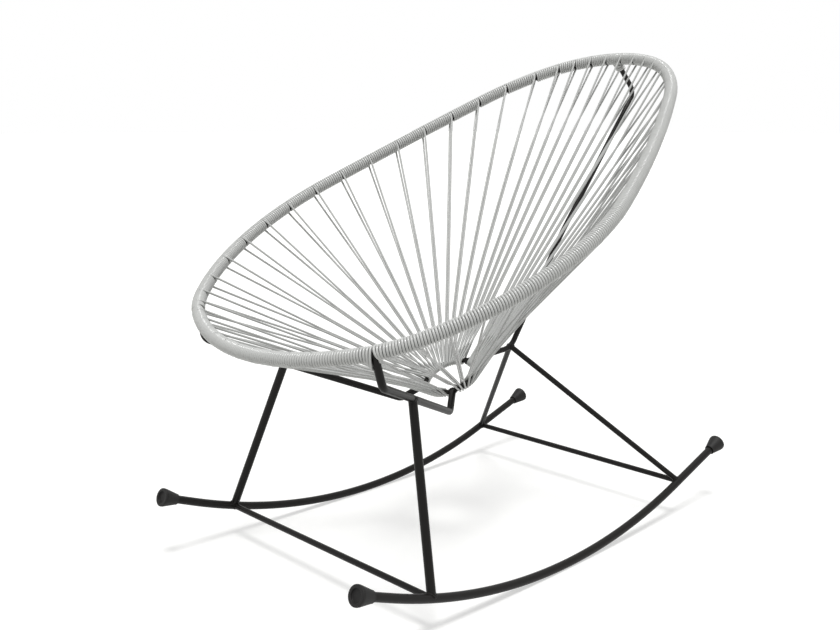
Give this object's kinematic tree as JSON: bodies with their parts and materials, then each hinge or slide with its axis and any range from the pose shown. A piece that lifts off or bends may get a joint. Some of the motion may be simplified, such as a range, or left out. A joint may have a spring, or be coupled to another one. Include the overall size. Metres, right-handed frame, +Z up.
{
  "type": "rocking chair",
  "caption": "Rocking lounge chair: an egg-shaped basket of stretched cord on a bent steel rod frame with two long rockers.",
  "frame": {"origin": "on the floor, under the middle of the bounding box", "axes": "the chair faces -Y, +X is the sitter's left, +Z is up"},
  "size_m": [0.7416, 0.9709, 0.8584],
  "materials": {
    "black_steel": "satin black powder coat",
    "stretched_cord": "glossy pale grey cord",
    "wound_cord": "glossy pale grey cord, wound turn against turn",
    "rubber_tip": "matt black"
  },
  "bodies": {
    "root": {"back_spine": "black_steel", "bottom_ring": "black_steel", "front_cross_bar": "black_steel", "front_winding": "wound_cord", "left_corner_strands": "stretched_cord", "left_flank_strands": "stretched_cord", "left_front_leg": "black_steel", "left_front_stay": "black_steel", "left_front_strands": "stretched_cord", "left_head_strands": "stretched_cord", "left_rear_leg": "black_steel", "left_rocker": "black_steel", "left_shoulder_strands": "stretched_cord", "left_side_strands": "stretched_cord", "left_winding": "wound_cord", "rear_cross_bar": "black_steel", "right_corner_strands": "stretched_cord", "right_flank_strands": "stretched_cord", "right_front_leg": "black_steel", "right_front_stay": "black_steel", "right_front_strands": "stretched_cord", "right_head_strands": "stretched_cord", "right_rear_leg": "black_steel", "right_rocker": "black_steel", "right_shoulder_strands": "stretched_cord", "right_side_strands": "stretched_cord", "right_winding": "wound_cord", "rim_rod": "black_steel", "rocker_tips": "rubber_tip", "spine_lashing": "wound_cord"}
  },
  "joints": []
}
